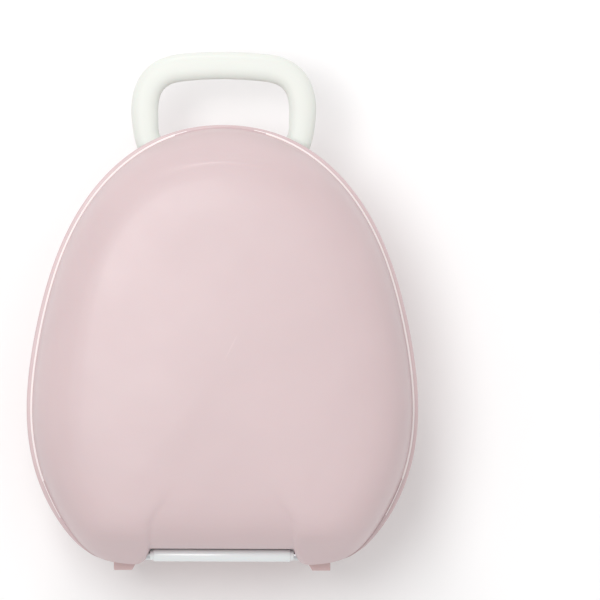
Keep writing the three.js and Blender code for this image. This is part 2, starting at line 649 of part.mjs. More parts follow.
for (const [sideName, side] of SIDES) {
  const bush = cut(
    sideRod(side, BUSH_R, STUB_END + GAP, 55, PIVOT_Y, PIVOT_Z, 18),
    sideRod(side, PIN_R + GAP, APRON_HALF, 60, PIVOT_Y, PIVOT_Z, 16),
  );
  place(`handle_bush_${sideName}`, bush, whiteShell());
  place(`handle_pin_${sideName}`, sideRod(side, PIN_R, APRON_HALF - 9, 54.5, PIVOT_Y, PIVOT_Z, 14), steel());
}

export default potty;
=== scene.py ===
import json
import math

import bmesh
import bpy
import numpy as np
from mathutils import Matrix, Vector


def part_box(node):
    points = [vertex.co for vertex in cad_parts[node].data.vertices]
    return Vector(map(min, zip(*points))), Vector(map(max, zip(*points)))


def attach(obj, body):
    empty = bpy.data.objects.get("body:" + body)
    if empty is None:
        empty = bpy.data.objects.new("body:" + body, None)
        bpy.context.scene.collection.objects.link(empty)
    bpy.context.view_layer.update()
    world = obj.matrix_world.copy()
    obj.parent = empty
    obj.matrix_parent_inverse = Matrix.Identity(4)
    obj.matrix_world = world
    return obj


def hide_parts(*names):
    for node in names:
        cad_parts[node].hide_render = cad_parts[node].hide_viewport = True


# Looks of the carry-case potty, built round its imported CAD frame. Shapes are drawn in millimetres about the
# centre of the case's egg outline and put into the frame, in metres, when their mesh is made.

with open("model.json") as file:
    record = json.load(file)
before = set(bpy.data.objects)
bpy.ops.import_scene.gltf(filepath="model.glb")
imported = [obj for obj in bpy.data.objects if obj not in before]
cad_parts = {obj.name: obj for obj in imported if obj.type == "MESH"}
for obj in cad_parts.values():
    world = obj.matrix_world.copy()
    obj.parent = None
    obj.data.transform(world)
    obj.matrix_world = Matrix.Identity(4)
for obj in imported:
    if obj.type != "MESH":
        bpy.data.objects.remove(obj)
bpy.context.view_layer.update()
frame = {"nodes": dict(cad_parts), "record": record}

# ---------------------------- places taken from the frame
MM = 0.001
JOINTS = {joint["name"]: joint for joint in frame["record"]["behaviour"]["joints"]}
HINGE_Y = 115.5                      # hinge axis, measured from the egg's centre
SHELF_HEIGHT = 102                   # from the bottom of the pot up to the seat frame's shelf
SHIFT_Y = JOINTS["lid_hinge"]["pos_m"][1] / MM - HINGE_Y
HINGE_Z = JOINTS["lid_hinge"]["pos_m"][2] / MM
PIVOT_Y = JOINTS["handle_pivot"]["pos_m"][1] / MM - SHIFT_Y
PIVOT_Z = JOINTS["handle_pivot"]["pos_m"][2] / MM
LID_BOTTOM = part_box("lid_shell")[0].z / MM
LID_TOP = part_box("lid_shell")[1].z / MM
POT_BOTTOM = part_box("inner_pot")[0].z / MM
SHELF_TOP = POT_BOTTOM + SHELF_HEIGHT
FOOT_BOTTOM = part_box("base_shell")[0].z / MM
BASE_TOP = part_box("base_shell")[1].z / MM
HEEL_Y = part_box("base_shell")[1].y / MM - SHIFT_Y
HANDLE_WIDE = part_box("carry_handle")[1].x / MM
HANDLE_THICK = (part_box("carry_handle")[1].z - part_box("carry_handle")[0].z) / MM
HANDLE_END_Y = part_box("carry_handle")[0].y / MM - SHIFT_Y
PLUG_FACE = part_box("plug_cover")[0].z / MM
PLUG_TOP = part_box("seal_gasket")[1].z / MM
LATCH_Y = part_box("latch_hook")[0].y / MM - SHIFT_Y
LATCH_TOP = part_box("latch_hook")[1].z / MM
GUARD_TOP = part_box("inner_pot")[1].z / MM

# ---------------------------- the egg and the oval
EGG_RADIUS = 160.8
EGG_HARMONICS = (1, 0.114, 0.106, 0.048, 0.007)
CAP_SHARPNESS = 24                   # how tightly the egg turns into a flat end
NO_CAP = 1e4                         # a flat end too far away to matter
OVAL_Y = -39                         # centre of the pot and the plug
OVAL_POWER = 2.35
SHELL_WALL = 2.6                     # thickness of the two pink shells
GAP = 0.3                            # what touching pieces keep between them


def soft_min(a, b, sharpness=CAP_SHARPNESS):
    """The smaller of a and b, blended where they are nearly equal."""
    return (a ** -sharpness + b ** -sharpness) ** (-1 / sharpness)


def egg(theta, inset=0.0, front=NO_CAP, rear=NO_CAP, rear_sharpness=CAP_SHARPNESS):
    """Outline of the case moved in by inset, with flat ends at y = -front and y = rear."""
    theta, inset = np.broadcast_arrays(np.asarray(theta, float), inset)
    waves = sum(size * np.cos(n * theta) for n, size in enumerate(EGG_HARMONICS))
    radius = EGG_RADIUS * waves - inset
    ahead = np.cos(theta)
    radius = soft_min(radius, front / np.maximum(ahead, 1e-3))
    radius = soft_min(radius, rear / np.maximum(-ahead, 1e-3), rear_sharpness)
    return np.stack([radius * np.sin(theta), -radius * ahead], -1)


def oval(theta, a, b):
    """Outline of the pot or the plug. Its half axes, a across and b along, may change with the angle."""
    across, along = np.abs(np.sin(theta)) / a, np.abs(np.cos(theta)) / b
    radius = (across ** OVAL_POWER + along ** OVAL_POWER) ** (-1 / OVAL_POWER)
    return np.stack([radius * np.sin(theta), OVAL_Y - radius * np.cos(theta)], -1)


def step(low, high, value):
    """0 below low, 1 above high, smooth between."""
    t = np.clip((np.asarray(value, float) - low) / (high - low), 0, 1)
    return t * t * (3 - 2 * t)


def crowded(count, places=(), strength=0.0, width=1.0):
    """count angles round a full turn, closer together near the given places."""
    fine = np.linspace(0, 2 * math.pi, 4000)
    density = np.ones_like(fine)
    for place in places:
        gap = np.abs((fine - place + math.pi) % (2 * math.pi) - math.pi)
        density += strength * np.exp(-((gap / width) ** 2))
    total = np.concatenate([[0], np.cumsum((density[1:] + density[:-1]) / 2)])
    return np.interp(np.arange(count) / count * total[-1], total, fine)


def both_sides(angles):
    """The angles of the right half, with their mirror images on the left."""
    return [*angles, *(2 * math.pi - angle for angle in angles)]


# ---------------------------- rings to meshes
def level(xy, z):
    """A ring of x, y and z from an outline of x and y at the height z."""
    return np.column_stack([xy, np.broadcast_to(z, len(xy))])


def stack(rows):
    """Rings given as (outline, height) into one array of rows x columns x 3."""
    return np.array([level(xy, z) for xy, z in rows])


def shrunk(ring, share):
    """A ring brought in towards its own middle."""
    middle = ring.mean(0)
    return middle + (ring - middle) * share


def smooth(rings, steps, alike=False):
    """Smooth curves through the rings, column by column, with steps to each span. With alike, all columns
    take the median column's pace."""
    rings = np.asarray(rings, float)
    spans = rings[1:] - rings[:-1]
    h = np.maximum(np.linalg.norm(spans, axis=-1, keepdims=True), 1e-3)
    if alike:
        h = np.median(h, axis=1, keepdims=True)
    slopes = spans / h
    tangents = np.empty_like(rings)
    tangents[0], tangents[-1] = slopes[0], slopes[-1]
    tangents[1:-1] = (slopes[:-1] * h[1:] + slopes[1:] * h[:-1]) / (h[:-1] + h[1:])
    out = []
    for i, span in enumerate(h):
        for t in np.arange(steps) / steps:
            here = (2 * t ** 3 - 3 * t ** 2 + 1) * rings[i] + (t ** 3 - 2 * t ** 2 + t) * span * tangents[i]
            there = (3 * t ** 2 - 2 * t ** 3) * rings[i + 1] + (t ** 3 - t ** 2) * span * tangents[i + 1]
            out.append(here + there)
    out.append(rings[-1])
    return np.array(out)


def rounded(rings, radii, steps=4, closed=False):
    """Rings whose corners are turned into curves. radii holds one corner radius per ring, 0 for none."""
    rings = np.asarray(rings, float)
    count = len(rings)
    out = []
    for i, radius in enumerate(radii):
        if radius == 0 or (not closed and i in (0, count - 1)):
            out.append(rings[i])
            continue
        here = rings[i]
        ends = []
        for other in (rings[i - 1], rings[(i + 1) % count]):
            length = np.maximum(np.linalg.norm(other - here, axis=-1, keepdims=True), 1e-6)
            ends.append(here + (other - here) * np.minimum(radius / length, 0.48))
        for t in np.linspace(0, 1, steps + 1):
            out.append((1 - t) ** 2 * ends[0] + 2 * t * (1 - t) * here + t * t * ends[1])
    return np.array(out)


def bezier(points, count):
    """count points on a line, quadratic or cubic Bezier curve, without its last point."""
    points = np.array(points, float)
    order = len(points) - 1
    t = (np.arange(count) / count)[:, None]
    weights = [math.comb(order, k) * (1 - t) ** (order - k) * t ** k for k in range(order + 1)]
    return sum(weight * point for weight, point in zip(weights, points))


def grid_faces(rows, count, close_rows):
    """Quads between the rings of a grid whose rings have count points each."""
    faces = []
    for r in range(rows if close_rows else rows - 1):
        here, there = r * count, (r + 1) % rows * count
        for c in range(count):
            d = (c + 1) % count
            faces.append((here + c, here + d, there + d, there + c))
    return faces


class Body:
    """Vertices and faces of one piece, gathered from several closed shapes."""

    def __init__(self):
        self.points, self.faces, self.slots = [], [], []

    def add(self, points, faces, slots=None):
        """Adds one shape. slots gives the material of each face, and is left out for the first material."""
        base = sum(len(p) for p in self.points)
        self.points.append(np.asarray(points, float).reshape(-1, 3))
        self.faces += [tuple(base + i for i in face) for face in faces]
        self.slots += slots or [0] * len(faces)
        return self

    def skin(self, rings, ends=False):
        """Adds rings joined by quads: closed on themselves, or with ends filled at the rings' middles."""
        rings = np.asarray(rings, float)
        rows, count = rings.shape[:2]
        faces = grid_faces(rows, count, close_rows=not ends)
        points = rings.reshape(-1, 3)
        if ends:
            points = np.vstack([points, rings[0].mean(0), rings[-1].mean(0)])
            last = (rows - 1) * count
            for c in range(count):
                d = (c + 1) % count
                faces += [(rows * count, d, c), (rows * count + 1, last + c, last + d)]
        return self.add(points, faces)

    def make(self, name, materials, crease=32):
        """The finished object, smooth apart from edges sharper than crease degrees."""
        points = np.vstack(self.points) + np.array([0, SHIFT_Y, 0])
        mesh = bpy.data.meshes.new(name)
        mesh.from_pydata((points * MM).tolist(), [], self.faces)
        for material in materials:
            mesh.materials.append(material)
        mesh.polygons.foreach_set("material_index", self.slots)
        tidy = bmesh.new()
        tidy.from_mesh(mesh)
        bmesh.ops.remove_doubles(tidy, verts=tidy.verts, dist=1e-7)
        bmesh.ops.recalc_face_normals(tidy, faces=tidy.faces)
        tidy.to_mesh(mesh)
        tidy.free()
        mesh.shade_smooth()
        mesh.set_sharp_from_angle(angle=math.radians(crease))
        piece = bpy.data.objects.new(name, mesh)
        bpy.context.scene.collection.objects.link(piece)
        return piece


def soft_box(x0, x1, y0, y1, z0, z1, radius, steps=4):
    """Rings of a block with rounded edges, from its bottom to its top."""
    sides = 48
    angles = np.linspace(0, 2 * math.pi, sides, endpoint=False) + math.pi / sides
    corner_x, corner_y = (x1 - x0) / 2 - radius, (y1 - y0) / 2 - radius

    def ring(turn, z):
        reach = radius - radius * (1 - math.sin(turn)) * 0.999
        x = np.copysign(corner_x, np.cos(angles)) + reach * np.cos(angles)
        y = np.copysign(corner_y, np.sin(angles)) + reach * np.sin(angles)
        return level(np.column_stack([x, y]) + ((x0 + x1) / 2, (y0 + y1) / 2), z)

    turns = np.linspace(0, math.pi / 2, steps + 1)
    low = [ring(t, z0 + radius * (1 - math.cos(t))) for t in turns]
    high = [ring(t, z1 - radius * (1 - math.cos(t))) for t in turns[::-1]]
    return np.array(low + high)


def rod_x(x0, x1, y, z, radius, fillet, sides=48):
    """Rings of a rod along X with rounded ends."""
    angles = np.linspace(0, 2 * math.pi, sides, endpoint=False)
    turns = ((0, 1), (0.3, 0.3), (1, 0))
    left = [(x0 + along * fillet, radius - shrink * fillet) for along, shrink in turns]
    right = [(x1 + x0 - x, r) for x, r in left[::-1]]
    return np.array([
        np.column_stack([np.full(sides, x), y + r * np.cos(angles), z + r * np.sin(angles)])
        for x, r in left + right
    ])


# ---------------------------- materials
def shader(name, colour, roughness, metallic=0.0, coat=0.0, sheen=0.0, scatter=0.0):
    """A new material, its node tree and its Principled shader."""
    material = bpy.data.materials.new(name)
    material.use_nodes = True
    tree = material.node_tree
    main = tree.nodes["Principled BSDF"]
    main.inputs["Base Color"].default_value = (*colour, 1)
    main.inputs["Roughness"].default_value = roughness
    main.inputs["Metallic"].default_value = metallic
    main.inputs["Coat Weight"].default_value = coat
    main.inputs["Coat Roughness"].default_value = 0.12
    main.inputs["Sheen Weight"].default_value = sheen
    main.inputs["Subsurface Weight"].default_value = scatter
    main.inputs["Subsurface Scale"].default_value = 0.004
    material.diffuse_color = (*colour, 1)
    return material, tree, main


def noise(tree, scale, detail, stretch=(1, 1, 1)):
    """A noise texture in the piece's own coordinates, stretched along each axis."""
    place = tree.nodes.new("ShaderNodeTexCoord")
    mapping = tree.nodes.new("ShaderNodeMapping")
    mapping.inputs["Scale"].default_value = stretch
    texture = tree.nodes.new("ShaderNodeTexNoise")
    texture.inputs["Scale"].default_value = scale
    texture.inputs["Detail"].default_value = detail
    tree.links.new(place.outputs["Object"], mapping.inputs["Vector"])
    tree.links.new(mapping.outputs["Vector"], texture.inputs["Vector"])
    return texture.outputs["Fac"]


def spread(tree, value, low, high):
    """Maps the middle of a noise onto low to high."""
    node = tree.nodes.new("ShaderNodeMapRange")
    node.inputs["From Min"].default_value = 0.3
    node.inputs["From Max"].default_value = 0.7
    node.inputs["To Min"].default_value = low
    node.inputs["To Max"].default_value = high
    tree.links.new(value, node.inputs["Value"])
    return node.outputs["Result"]


def mixed(tree, share, first, second):
    """A blend of two colours, each a tuple or another node's output."""
    node = tree.nodes.new("ShaderNodeMix")
    node.data_type = "RGBA"
    tree.links.new(share, node.inputs["Factor"])
    for socket, value in ((node.inputs[6], first), (node.inputs[7], second)):    # its two colour sockets
        if isinstance(value, tuple):
            socket.default_value = (*value, 1)
        else:
            tree.links.new(value, socket)
    return node.outputs[2]


def bumpy(tree, main, height, strength, distance):
    """Gives a shader a fine relief, distance metres deep."""
    bump = tree.nodes.new("ShaderNodeBump")
    bump.inputs["Strength"].default_value = strength
    bump.inputs["Distance"].default_value = distance
    tree.links.new(height, bump.inputs["Height"])
    tree.links.new(bump.outputs["Normal"], main.inputs["Normal"])


def moulded(name, colour, roughness, grain=0.25, mottle=0.02, edge_highlight=0.0, coat=0.0, patchy=0.045):
    """Injection-moulded plastic: faint mottling, a fine spark-eroded grain and paler sharp edges, a painted
    highlight.
    """
    material, tree, main = shader(name, colour, roughness, coat=coat, scatter=0.03)
    dark = tuple(c * (1 - mottle) for c in colour)
    pale = tuple(min(c * (1 + mottle), 1) for c in colour)
    tint = mixed(tree, spread(tree, noise(tree, 14, 3), 0, 1), dark, pale)
    # painted highlight: where pointiness finds a sharp convex edge, the colour is mixed towards a paler one
    if edge_highlight:
        geometry = tree.nodes.new("ShaderNodeNewGeometry")
        edge = tree.nodes.new("ShaderNodeMapRange")
        edge.inputs["From Min"].default_value = 0.52
        edge.inputs["From Max"].default_value = 0.60
        edge.inputs["To Max"].default_value = edge_highlight
        tree.links.new(geometry.outputs["Pointiness"], edge.inputs["Value"])
        tint = mixed(tree, edge.outputs["Result"], tint, tuple(min(c * 1.1 + 0.04, 1) for c in colour))
    tree.links.new(tint, main.inputs["Base Color"])
    patches = spread(tree, noise(tree, 30, 4), roughness - patchy, roughness + patchy)
    tree.links.new(patches, main.inputs["Roughness"])
    bumpy(tree, main, noise(tree, 1500, 2), grain, 0.00008)
    return material


def rubber(name, colour, roughness, grain):
    """Matt elastomer with faint cloudy patches."""
    material, tree, main = shader(name, colour, roughness, sheen=0.15)
    clouds = spread(tree, noise(tree, 40, 4), 0, 1)
    tint = mixed(tree, clouds, tuple(c * 0.93 for c in colour), colour)
    tree.links.new(tint, main.inputs["Base Color"])
    bumpy(tree, main, noise(tree, 900, 4), grain, 0.00012)
    return material


def plated_steel(name):
    """Zinc plating with fine lines across it."""
    material, tree, main = shader(name, STEEL_GREY, 0.3, metallic=1.0)
    lines = noise(tree, 300, 3, stretch=(0.05, 1, 1))
    tree.links.new(spread(tree, lines, 0.22, 0.42), main.inputs["Roughness"])
    clouds = spread(tree, noise(tree, 90, 4), 0, 1)
    tint = mixed(tree, clouds, STEEL_DARK, STEEL_PALE)
    tree.links.new(tint, main.inputs["Base Color"])
    return material


PINK = (0.615, 0.481, 0.489)
# pale pink of the lid's bead: a painted highlight along the ledge
BEAD_HIGHLIGHT_PINK = (0.93, 0.85, 0.84)
BASE_PINK = (0.620, 0.440, 0.435)
GASKET_PINK = (0.660, 0.475, 0.500)
COOL_WHITE = (0.775, 0.80, 0.805)
WARM_WHITE = (0.74, 0.755, 0.71)
PAD_GREY = (0.46, 0.46, 0.46)
STEEL_GREY = (0.58, 0.59, 0.60)
STEEL_DARK = (0.50, 0.51, 0.53)
STEEL_PALE = (0.64, 0.65, 0.66)
# the lid and the base get a painted highlight along their sharp edges
pink_lid = moulded("pink_lid_plastic", PINK, 0.41, edge_highlight=0.25, coat=0.05)
pink_bead_highlight = moulded("pink_lid_bead_painted_highlight", BEAD_HIGHLIGHT_PINK, 0.35)
pink_base = moulded("pink_base_plastic", BASE_PINK, 0.46, edge_highlight=0.3)
white_gloss = moulded(
    "white_gloss_plastic", COOL_WHITE, 0.26, grain=0.06, mottle=0.006, coat=0.3, patchy=0.012)
white_satin = moulded("white_satin_plastic", WARM_WHITE, 0.45, grain=0.2, mottle=0.008, patchy=0.02)
gasket_rubber = rubber("pink_gasket_rubber", GASKET_PINK, 0.6, 0.4)
pad_rubber = rubber("grey_pad_rubber", PAD_GREY, 0.8, 0.8)
steel = plated_steel("zinc_plated_steel")


# ---------------------------- lid shell
FLANGE = 3.4                         # width of the ledge round the lid's foot
FLANGE_FADE = (math.radians(118), math.radians(146))    # where the ledge dies out towards the lugs
TONGUE_HALF = 32                     # half width of the finger tongue at the front
TONGUE_Y = 203.1                     # how far the tongue reaches ahead of the egg's centre
NOTCH_HALF = 53.8                    # gap in the lid's rear for the hinge barrel
NOTCH_Y = 110.55                     # the wall between the lugs
KNUCKLE_R = 7.5                      # the lugs' rear faces roll about the hinge at this radius
LUG_LEAN = 0.61                      # forward lean of those faces above the hinge
LUG_CROWN = ((160, 104.6), (164, 101.6), (167, 97.6), (169.5, 91.5), (171.4, 82.5), (172.6, 66.0))  # z, y
LUG_ROUND = 9.5                      # rounding of the lugs' inner corners
LID_ANGLES = 150                     # columns from the middle of the front to a lug
LUG_STEPS = 14
REAR_STEPS = 16
LID_FOOT = (
    # inset, front, height above the lid's foot: the ledge and the bead above it
    (0.5, TONGUE_Y - 0.5, 0),
    (0.0, TONGUE_Y, 0.6),
    (0.0, TONGUE_Y, 1.8),
    (0.7, 202.8, 2.4),
    (2.7, 202.2, 2.6),
    (3.0, 202.0, 3.0),
    (3.5, 201.8, 3.25),
    (4.1, 201.6, 3.1),
    (4.5, 201.3, 3.6),
)
LID_WALL = (
    # inset, front, wall between the lugs, height, how softly the lugs turn into that wall
    (4.9, 200.4, NOTCH_Y, HINGE_Z, 0),
    (5.8, 197.4, 110.5, 137, 0),
    (8.0, 192.6, 109.6, 146, 0.2),
    (11.6, 187.0, 106.6, 154, 0.6),
    (16.8, 181.0, 101.6, 160.6, 1.2),
    (23.5, 177.6, 95.0, 165.4, 2.4),
    (30.5, 174.9, 87.0, 168.6, 4.6),
    (39, 167.0, 77.0, 170.7, 8.0),
    (50, 156.0, 64.0, 172.1, 12.0),
    (66, 140.0, 48.0, 173.2, 16.0),
)
LID_AXIS = (0, -20)                  # the wall's thickness is taken towards this point
REBATE_REAR = 105                    # how far back the inner skin reaches at the lid's foot
LID_REBATE = (
    # inset, height above the lid's foot: the inner skin steps in over the seat frame's edge
    (2.9, 0), (2.9, 0.6), (2.9, 1.2), (2.9, 1.8), (2.9, 2.2), (3.8, 2.35), (5.0, 2.4), (6.6, 2.5), (7.2, 3),
)


def lug_y(z, mid):
    """Rear face of the lugs: rolled about the hinge, leaning forward above it, crowned at the top."""
    drop = HINGE_Z - z
    if z >= LUG_CROWN[0][0]:
        heights, places = zip(*LUG_CROWN)
        return max(np.interp(z, heights, places), mid)
    if drop > 0:
        return HINGE_Y + math.sqrt(max(KNUCKLE_R ** 2 - drop ** 2, 0))
    return HINGE_Y + KNUCKLE_R + drop * LUG_LEAN


def tip_cap(inset, tip):
    """Front cap that brings the egg's blunted tip, moved in by inset, to y = -tip."""
    reach = EGG_RADIUS * sum(EGG_HARMONICS) - inset
    if tip >= reach - 0.01:
        return NO_CAP
    return reach * ((reach / tip) ** CAP_SHARPNESS - 1) ** (-1 / CAP_SHARPNESS)


def lid_outline(inset, tip, lug, mid, blur):
    """One ring of the lid. lug and mid are how far back the lugs and the wall between them reach, and
    blur widens the step between the two."""
    front = tip_cap(inset, tip)
    notch = NOTCH_HALF * min(1, lug / 95)
    blur = max(blur, 0.15)
    rim = min(LUG_ROUND, max((lug - mid) * 0.85, 0.2))
    root = min(0.8, rim)

    def side(theta):
        """The egg's side, without the ledge near the lugs."""
        fade = 1 - step(*FLANGE_FADE, theta)
        moved = inset - FLANGE * (1 - fade) * step(0.5, FLANGE, inset) * (1 - step(30, 60, inset))
        return egg(theta, moved, front, lug)

    # the angle at which the egg comes to the lug's inner corner, by halving
    low, high = 0.7 * math.pi, math.pi - 1e-3
    for _ in range(40):
        middle = (low + high) / 2
        if side(np.array([middle]))[0][0] > notch + blur + 1.15 * rim:
            low = middle
        else:
            high = middle
    share = np.linspace(0, 1, LID_ANGLES)
    half = side(low * (share + 0.045 * np.sin(2 * math.pi * share)))
    edge = half[-1]
    end = np.array([notch - blur - root, mid])
    turn = bezier([edge, (notch, edge[1]), (notch, mid), end], LUG_STEPS)[1:]
    across = np.column_stack([np.linspace(end[0], 0, REAR_STEPS), np.full(REAR_STEPS, mid)])
    right = np.vstack([half, turn, across])
    left = right[1:-1][::-1] * (-1, 1)
    return np.vstack([right, left])


def lid_skin():
    """Outer skin of the lid, from its foot to near the middle of its top."""
    foot = []
    for inset, tip, rise in LID_FOOT:
        z = LID_BOTTOM + rise
        foot.append((lid_outline(inset, tip, lug_y(z, NOTCH_Y), NOTCH_Y, 0), z))
    wall = [(lid_outline(inset, tip, lug_y(z, mid), mid, blur), z) for inset, tip, mid, z, blur in LID_WALL]
    skin = np.concatenate([stack(foot), smooth(stack(wall), 5, alike=True)])
    rim = skin[-1]
    middle = np.array([0, rim[:, 1].mean(), LID_TOP])
    dome = []
    for share in np.linspace(0.9, 0.04, 12):
        ring = middle + (rim - middle) * share
        ring[:, 2] = LID_TOP - (LID_TOP - rim[0, 2]) * share ** 2
        dome.append(ring)
    return np.concatenate([skin, dome])


def lid_inside(outer):
    """Inner skin of the lid: the outer skin moved in by its wall, with a rebate at the foot."""
    inner = outer.copy()
    away = inner[:, :, :2] - LID_AXIS
    reach = np.linalg.norm(away, axis=-1, keepdims=True)
    inner[:, :, :2] -= away / np.maximum(reach, 1) * np.minimum(SHELL_WALL, reach * 0.5)
    above = inner[len(LID_FOOT):]
    above[:, :, 2] -= SHELL_WALL * step(150, 172, above[:, :, 2])
    for row, (inset, rise) in enumerate(LID_REBATE):
        line = lid_outline(inset, TONGUE_Y - inset, REBATE_REAR + 0.2, REBATE_REAR, 0)
        inner[row] = level(line, LID_BOTTOM + rise)
    return inner


def build_lid():
    outer = lid_skin()
    inner = lid_inside(outer)
    rows, count = outer.shape[:2]
    # the bead above the ledge, coloured pale as a painted highlight, stops at the tongue and thins out
    # towards the lugs
    kinds = np.zeros((rows - 1, count), int)
    x, y = outer[4, :, 0], outer[4, :, 1]
    kinds[5, (np.abs(x) > TONGUE_HALF - 5) & (y < 86)] = 1
    kinds[4:7, (np.abs(x) > TONGUE_HALF + 4) & (y < 60)] = 1
    outside = grid_faces(rows, count, close_rows=False)
    base = rows * count
    faces = outside + [tuple(base + i for i in face[::-1]) for face in outside]
    # the foot between the two skins, and the middles of both
    for c in range(count):
        d = (c + 1) % count
        faces.append((c, base + c, base + d, d))
        faces.append((base - count + c, base - count + d, 2 * base))
        faces.append((2 * base - count + d, 2 * base - count + c, 2 * base + 1))
    slots = list(kinds.ravel())
    slots += [0] * (len(faces) - len(slots))
    points = [outer.reshape(-1, 3), inner.reshape(-1, 3), outer[-1].mean(0), inner[-1].mean(0)]
    return Body().add(np.vstack(points), faces, slots).make("lid_shell_moulding", [pink_lid, pink_bead_highlight])


# ---------------------------- lid liner
GUARD_HALF = 51                      # half width of the pot's splash guard
LINER_FACE = 147                     # height of the liner's flat middle
LINER_REAR = 9                       # sharpness of the dish's rear corners
LINER_WALL = 2.2
LINER_EDGE = (
    # inset, front, rear, height: the rim that lies in the lid's rebate
    (3.4, 212.4, 104.6, LID_BOTTOM + 2.2),
    (3.2, 212.6, 104.7, LID_BOTTOM + 0.5),
    (3.7, 212.2, 104.4, LID_BOTTOM),
)
LINER_LIP = ((20.2, 194, 96.6, LID_BOTTOM), (21.4, 192.6, 96, LID_BOTTOM + 0.6))
LINER_DISH = (
    # inset, front, rear, height: the walls of the dish, up to its flat middle
    (21.9, 191.6, 95.7, 124.6),
    (23.2, 188.6, 95, 129),
    (25.2, 184.5, 94, 135),
    (28, 179.6, 92.4, 141),
    (32, 174.4, 90.2, 145),
    (37.5, 169.5, 87.4, 146.8),
    (43, 165.0, 84.0, LINER_FACE),
)


def liner_lift(x, y, face):
    """How far the pocket over the splash guard rises above the liner's face at a point."""
    dy = y - OVAL_Y
    size = ((np.abs(x) / 84) ** OVAL_POWER + (np.abs(dy) / 113) ** OVAL_POWER) ** (1 / OVAL_POWER)
    offset = (size - 1) * np.hypot(x, dy) / np.maximum(size, 1e-3)
    band = step(-13.5, -10.5, offset) * (1 - step(12.5, 17.5, offset))
    share = np.abs(x) / (GUARD_HALF + 6)
    rise = np.where((dy < 0) & (share < 1), np.clip(1 - share ** 2, 0, 1) ** 0.75, 0)
    top = np.minimum(128.5 + 38 * rise, 165.5)
    return np.maximum(top - face, 0) * band


def build_liner():
    angles = crowded(260, [0], 2.5, 0.45)

    def ring(inset, front, rear, z, sharpness=LINER_REAR):
        return level(egg(angles, inset, front, rear, sharpness), z)

    rim = [ring(*row, sharpness=CAP_SHARPNESS) for row in LINER_EDGE] + [ring(*row) for row in LINER_LIP]
    face = list(smooth([ring(*row) for row in LINER_DISH], 5))
    inset, front, rear, z = LINER_DISH[-1]
    face += [ring(inset + 1.5 * i, front - 1.5 * i, rear - 1.2 * i, z) for i in range(1, 24)]
    last = face[-1]
    middle = np.array([0, last[:, 1].mean(), LINER_FACE])
    face += [middle + (last - middle) * share for share in (0.8, 0.6, 0.4, 0.2, 0.05)]
    for line in face:
        line[:, 2] += liner_lift(line[:, 0], line[:, 1], line[:, 2])
    seen = np.array(rim + face)
    back = seen[1:].copy()
    back[:, :, 2] = np.maximum(back[:, :, 2] + LINER_WALL, LID_BOTTOM + 2.4)
    whole = np.concatenate([back[::-1], seen])
    return Body().skin(whole, ends=True).make("lid_liner_moulding", [white_gloss])


# ---------------------------- plug
PLUG_A, PLUG_B = 66.2, 95.2          # half axes of the plug's cover
GASKET_RIBS = (121.0, 127.6)         # heights of the gasket's two ribs
CARRIER_FLOOR = 117.7


def oval_rows(angles, rows):
    return stack([(oval(angles, a, b), z) for a, b, z in rows])


def build_plug_cover(angles):
    back = CARRIER_FLOOR - GAP
    rings = oval_rows(angles, [
        (20, 49, PLUG_FACE + 0.25), (46, 75, PLUG_FACE + 0.1), (58, 87, PLUG_FACE),
        (PLUG_A - 2, PLUG_B - 2, PLUG_FACE), (PLUG_A, PLUG_B, PLUG_FACE + 2.4), (PLUG_A, PLUG_B, back),
        (60, 89, back), (20, 49, back)])
    rings = rounded(rings, [0, 0, 6, 4.5, 2.0, 0.4, 0, 0], steps=6)
    return Body().skin(rings, ends=True).make("plug_cover_disc", [white_gloss])


def build_gasket(angles):
    """The band round the plug, with its ribs, against the pot."""
    low = PLUG_FACE + 4.7
    ribs = []
    for middle in GASKET_RIBS:
        for out, rise in ((1.1, -2.3), (3.4, -0.9), (3.7, 0), (3.4, 0.9), (1.1, 2.3)):
            ribs.append((out, middle + rise))
    profile = [(0, low), *ribs, (1.1, 136), (1.2, 143), (2.4, 145.2), (2.5, PLUG_TOP)]
    band = oval_rows(angles, [(PLUG_A + 0.2 + out, PLUG_B + out, z) for out, z in profile])
    inside = oval_rows(angles, [(63.3, 92.3, PLUG_TOP), (63.3, 92.3, low)])
    skin = np.concatenate([rounded(band, [0] + [0.9] * (len(band) - 2) + [0], steps=4), inside])
    return Body().skin(skin).make("seal_gasket_band", [gasket_rubber], crease=50)


def build_carrier(angles):
    rings = oval_rows(angles, [
        (20, 49, CARRIER_FLOOR), (61.5, 90.5, CARRIER_FLOOR), (63, 92, CARRIER_FLOOR + 1.3),
        (63, 92, PLUG_TOP), (60, 89, PLUG_TOP), (60, 89, CARRIER_FLOOR + 3.8),
        (58, 87, CARRIER_FLOOR + 2.7), (20, 49, CARRIER_FLOOR + 2.7)])
    return Body().skin(rings, ends=True).make("plug_carrier_cup", [white_gloss])


def build_latch():
    """Snap hook in the lid's front rim: a stem with a barbed foot, on a small plate."""
    y, top = LATCH_Y + 4, LATCH_TOP
    outline = [
        (y - 4, top), (y - 4, top - 2), (y - 1.3, top - 2.4), (y - 1.3, 113.4), (y + 0.5, 112.4),
        (y + 2.5, 114.8), (y + 1.3, 118), (y + 1.3, top - 2.4), (y + 4, top - 2), (y + 4, top),
    ]
    line = rounded(np.array(outline)[:, None, :], [0.4] * len(outline), steps=3, closed=True)[:, 0]
    away = line - line.mean(0)
    reach = np.maximum(np.linalg.norm(away, axis=1, keepdims=True), 1)
    rings = []
    for x, shrink in ((-8.5, 0.4), (-8.3, 0.1), (-7.9, 0), (7.9, 0), (8.3, 0.1), (8.5, 0.4)):
        points = line.mean(0) + away * (1 - shrink / reach)
        rings.append(np.column_stack([np.full(len(points), x), points]))
    return Body().skin(rings, ends=True).make("latch_hook_moulding", [white_satin])


